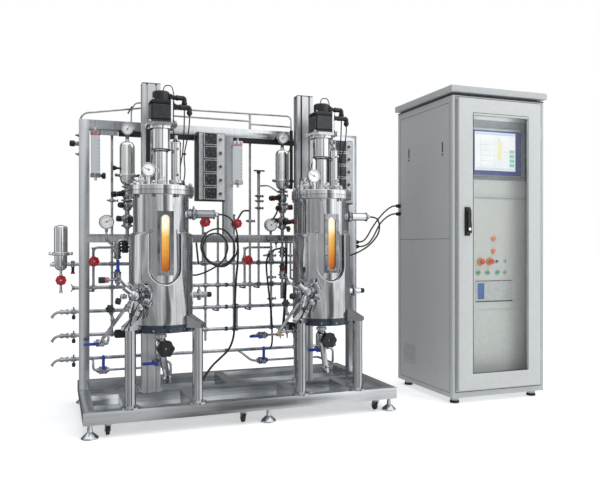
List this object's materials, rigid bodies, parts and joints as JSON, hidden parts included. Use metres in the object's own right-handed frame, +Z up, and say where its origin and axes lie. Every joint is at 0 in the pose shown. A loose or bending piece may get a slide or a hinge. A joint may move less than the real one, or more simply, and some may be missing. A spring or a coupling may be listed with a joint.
{
  "type": "twin-vessel bioreactor skid",
  "caption": "Steam-sterilisable stainless bioreactor skid: jacketed vessels with sight windows and lid lifts, piped services and a cabled control cabinet with a glass door.",
  "frame": {"origin": "on the floor, under the middle of the skid and cabinet together", "axes": "+X along the skid towards the cabinet, +Y from the front (sight windows, cabinet door) to the back, +Z up"},
  "size_m": [2.641, 0.832, 1.716],
  "materials": {
    "stainless_polished": "mirror-polished 316L stainless steel",
    "stainless_brushed": "satin stainless steel",
    "black_rubber": "matt black",
    "red_plastic": "glossy red moulding",
    "blue_sleeve": "dipped blue vinyl sleeve",
    "panel_grey": "grey instrument housing",
    "broth_glass": "sight glass lit from inside over amber broth",
    "black_housing": "satin black paint",
    "aluminium_profile": "natural anodised",
    "grey_paint": "light grey textured powder coat",
    "screen": "operator screen with blue bezel",
    "clear_glass": "clear toughened glass"
  },
  "bodies": {
    "stand": {"base_frame": "stainless_polished", "back_frame": "stainless_brushed", "process_pipework": "stainless_brushed", "steam_filter": "stainless_polished", "vessel_a": "stainless_polished", "vessel_b": "stainless_polished", "sight_glass_a": "broth_glass", "sight_glass_b": "broth_glass", "drain_valve_a": "stainless_brushed", "drain_valve_b": "stainless_brushed", "air_filter_a": "stainless_polished", "air_filter_b": "stainless_polished", "pump_panel_a": "panel_grey", "pump_panel_b": "panel_grey", "lift_column_a": "aluminium_profile", "lift_column_b": "aluminium_profile", "cabinet_body": "grey_paint", "control_panel": "grey_paint", "monitor": "screen", "cabinet_cable_upper": "black_rubber", "cabinet_cable_lower": "black_rubber", "probe_cable_a": "black_rubber", "probe_cable_b": "black_rubber"},
    "lid_assembly_a": {"lid_a": "stainless_polished", "drive_housing_a": "stainless_polished", "drive_motor_a": "black_housing"},
    "agitator_body_a": {"agitator_a": "stainless_polished"},
    "drain_knob_body_a": {"drain_knob_a": "black_rubber"},
    "lid_assembly_b": {"lid_b": "stainless_polished", "drive_housing_b": "stainless_polished", "drive_motor_b": "black_housing"},
    "agitator_body_b": {"agitator_b": "stainless_polished"},
    "drain_knob_body_b": {"drain_knob_b": "black_rubber"},
    "door": {"door_frame": "grey_paint", "door_glass": "clear_glass"},
    "door_latch": {"door_handle": "black_housing"},
    "caster_front_left": {"caster_fork_front_left": "stainless_brushed"},
    "wheel_front_left": {"caster_wheel_front_left": "black_rubber"},
    "caster_front_middle": {"caster_fork_front_middle": "stainless_brushed"},
    "wheel_front_middle": {"caster_wheel_front_middle": "black_rubber"},
    "caster_front_right": {"caster_fork_front_right": "stainless_brushed"},
    "wheel_front_right": {"caster_wheel_front_right": "black_rubber"},
    "caster_rear_left": {"caster_fork_rear_left": "stainless_brushed"},
    "wheel_rear_left": {"caster_wheel_rear_left": "black_rubber"},
    "caster_rear_right": {"caster_fork_rear_right": "stainless_brushed"},
    "wheel_rear_right": {"caster_wheel_rear_right": "black_rubber"},
    "handwheel_steam_filter_body": {"handwheel_steam_filter": "red_plastic"},
    "handwheel_left_body": {"handwheel_left": "red_plastic"},
    "handwheel_centre_left_body": {"handwheel_centre_left": "red_plastic"},
    "handwheel_centre_right_body": {"handwheel_centre_right": "red_plastic"},
    "handwheel_centre_low_body": {"handwheel_centre_low": "red_plastic"},
    "valve_lever_left_upper_body": {"valve_lever_left_upper": "blue_sleeve"},
    "valve_lever_left_middle_body": {"valve_lever_left_middle": "blue_sleeve"},
    "valve_lever_left_low_body": {"valve_lever_left_low": "blue_sleeve"},
    "valve_lever_centre_middle_body": {"valve_lever_centre_middle": "blue_sleeve"},
    "valve_lever_centre_low_body": {"valve_lever_centre_low": "blue_sleeve"},
    "valve_lever_under_a_body": {"valve_lever_under_a": "blue_sleeve"},
    "valve_lever_under_b_body": {"valve_lever_under_b": "blue_sleeve"},
    "stop_button_1_body": {"stop_button_1": "red_plastic"},
    "stop_button_2_body": {"stop_button_2": "red_plastic"}
  },
  "joints": [
    {"name": "lid_lift_a", "type": "slide", "parent": "stand", "child": "lid_assembly_a", "axis": [0, 0, 1], "range_m": [0, 0.42]},
    {"name": "agitator_spin_a", "type": "hinge", "parent": "lid_assembly_a", "child": "agitator_body_a", "pos_m": [-0.8205, -0.235, 0.9], "axis": [0, 0, 1], "continuous": true},
    {"name": "drain_knob_turn_a", "type": "hinge", "parent": "stand", "child": "drain_knob_body_a", "pos_m": [-0.81215, -0.29442, 0.375], "axis": [0.1392, -0.9903, 0], "range_deg": [0, 900]},
    {"name": "lid_lift_b", "type": "slide", "parent": "stand", "child": "lid_assembly_b", "axis": [0, 0, 1], "range_m": [0, 0.42]},
    {"name": "agitator_spin_b", "type": "hinge", "parent": "lid_assembly_b", "child": "agitator_body_b", "pos_m": [0.0025, -0.235, 0.9], "axis": [0, 0, 1], "continuous": true},
    {"name": "drain_knob_turn_b", "type": "hinge", "parent": "stand", "child": "drain_knob_body_b", "pos_m": [0.01085, -0.29442, 0.375], "axis": [0.1392, -0.9903, 0], "range_deg": [0, 900]},
    {"name": "door_hinge", "type": "hinge", "parent": "stand", "child": "door", "pos_m": [1.2775, -0.382, 0.86], "axis": [0, 0, 1], "range_deg": [0, 120]},
    {"name": "door_handle_turn", "type": "hinge", "parent": "door", "child": "door_latch", "pos_m": [0.7845, -0.392, 0.934], "axis": [0, -1, 0], "range_deg": [0, 90]},
    {"name": "swivel_front_left", "type": "hinge", "parent": "stand", "child": "caster_front_left", "pos_m": [-1.0715, -0.34, 0.05], "axis": [0, 0, 1], "continuous": true},
    {"name": "roll_front_left", "type": "hinge", "parent": "caster_front_left", "child": "wheel_front_left", "pos_m": [-1.0715, -0.328, 0.0275], "axis": [1, 0, 0], "continuous": true},
    {"name": "swivel_front_middle", "type": "hinge", "parent": "stand", "child": "caster_front_middle", "pos_m": [-0.4435, -0.34, 0.05], "axis": [0, 0, 1], "continuous": true},
    {"name": "roll_front_middle", "type": "hinge", "parent": "caster_front_middle", "child": "wheel_front_middle", "pos_m": [-0.4435, -0.328, 0.0275], "axis": [1, 0, 0], "continuous": true},
    {"name": "swivel_front_right", "type": "hinge", "parent": "stand", "child": "caster_front_right", "pos_m": [0.2625, -0.34, 0.05], "axis": [0, 0, 1], "continuous": true},
    {"name": "roll_front_right", "type": "hinge", "parent": "caster_front_right", "child": "wheel_front_right", "pos_m": [0.2625, -0.328, 0.0275], "axis": [1, 0, 0], "continuous": true},
    {"name": "swivel_rear_left", "type": "hinge", "parent": "stand", "child": "caster_rear_left", "pos_m": [-1.0715, 0.378, 0.05], "axis": [0, 0, 1], "continuous": true},
    {"name": "roll_rear_left", "type": "hinge", "parent": "caster_rear_left", "child": "wheel_rear_left", "pos_m": [-1.0715, 0.39, 0.0275], "axis": [1, 0, 0], "continuous": true},
    {"name": "swivel_rear_right", "type": "hinge", "parent": "stand", "child": "caster_rear_right", "pos_m": [0.2625, 0.378, 0.05], "axis": [0, 0, 1], "continuous": true},
    {"name": "roll_rear_right", "type": "hinge", "parent": "caster_rear_right", "child": "wheel_rear_right", "pos_m": [0.2625, 0.39, 0.0275], "axis": [1, 0, 0], "continuous": true},
    {"name": "handwheel_steam_filter_turn", "type": "hinge", "parent": "stand", "child": "handwheel_steam_filter_body", "pos_m": [-1.2655, 0.104, 0.682], "axis": [0, -1, 0], "range_deg": [0, 900]},
    {"name": "handwheel_left_turn", "type": "hinge", "parent": "stand", "child": "handwheel_left_body", "pos_m": [-1.1065, 0.104, 0.775], "axis": [0, -1, 0], "range_deg": [0, 900]},
    {"name": "handwheel_centre_left_turn", "type": "hinge", "parent": "stand", "child": "handwheel_centre_left_body", "pos_m": [-0.5315, 0.104, 0.983], "axis": [0, -1, 0], "range_deg": [0, 900]},
    {"name": "handwheel_centre_right_turn", "type": "hinge", "parent": "stand", "child": "handwheel_centre_right_body", "pos_m": [-0.3565, 0.104, 0.977], "axis": [0, -1, 0], "range_deg": [0, 900]},
    {"name": "handwheel_centre_low_turn", "type": "hinge", "parent": "stand", "child": "handwheel_centre_low_body", "pos_m": [-0.2945, 0.104, 0.775], "axis": [0, -1, 0], "range_deg": [0, 900]},
    {"name": "valve_lever_left_upper_turn", "type": "hinge", "parent": "stand", "child": "valve_lever_left_upper_body", "pos_m": [-0.9935, 0.064, 0.702], "axis": [0, 1, 0], "range_deg": [0, 90]},
    {"name": "valve_lever_left_middle_turn", "type": "hinge", "parent": "stand", "child": "valve_lever_left_middle_body", "pos_m": [-1.0785, 0.064, 0.361], "axis": [0, 1, 0], "range_deg": [0, 90]},
    {"name": "valve_lever_left_low_turn", "type": "hinge", "parent": "stand", "child": "valve_lever_left_low_body", "pos_m": [-1.0645, 0.064, 0.222], "axis": [0, 1, 0], "range_deg": [0, 90]},
    {"name": "valve_lever_centre_middle_turn", "type": "hinge", "parent": "stand", "child": "valve_lever_centre_middle_body", "pos_m": [-0.2195, 0.064, 0.361], "axis": [0, 1, 0], "range_deg": [0, 90]},
    {"name": "valve_lever_centre_low_turn", "type": "hinge", "parent": "stand", "child": "valve_lever_centre_low_body", "pos_m": [-0.2195, 0.064, 0.222], "axis": [0, 1, 0], "range_deg": [0, 90]},
    {"name": "valve_lever_under_a_turn", "type": "hinge", "parent": "stand", "child": "valve_lever_under_a_body", "pos_m": [-0.8185, -0.156, 0.285], "axis": [0, 1, 0], "range_deg": [0, 90]},
    {"name": "valve_lever_under_b_turn", "type": "hinge", "parent": "stand", "child": "valve_lever_under_b_body", "pos_m": [0.0365, -0.156, 0.305], "axis": [0, 1, 0], "range_deg": [0, 90]},
    {"name": "stop_button_1_press", "type": "slide", "parent": "stand", "child": "stop_button_1_body", "axis": [0, 1, 0], "range_m": [0, 0.004], "stiffness_N_per_m": 900, "springref_m": -0.001},
    {"name": "stop_button_2_press", "type": "slide", "parent": "stand", "child": "stop_button_2_body", "axis": [0, 1, 0], "range_m": [0, 0.004], "stiffness_N_per_m": 900, "springref_m": -0.001}
  ]
}
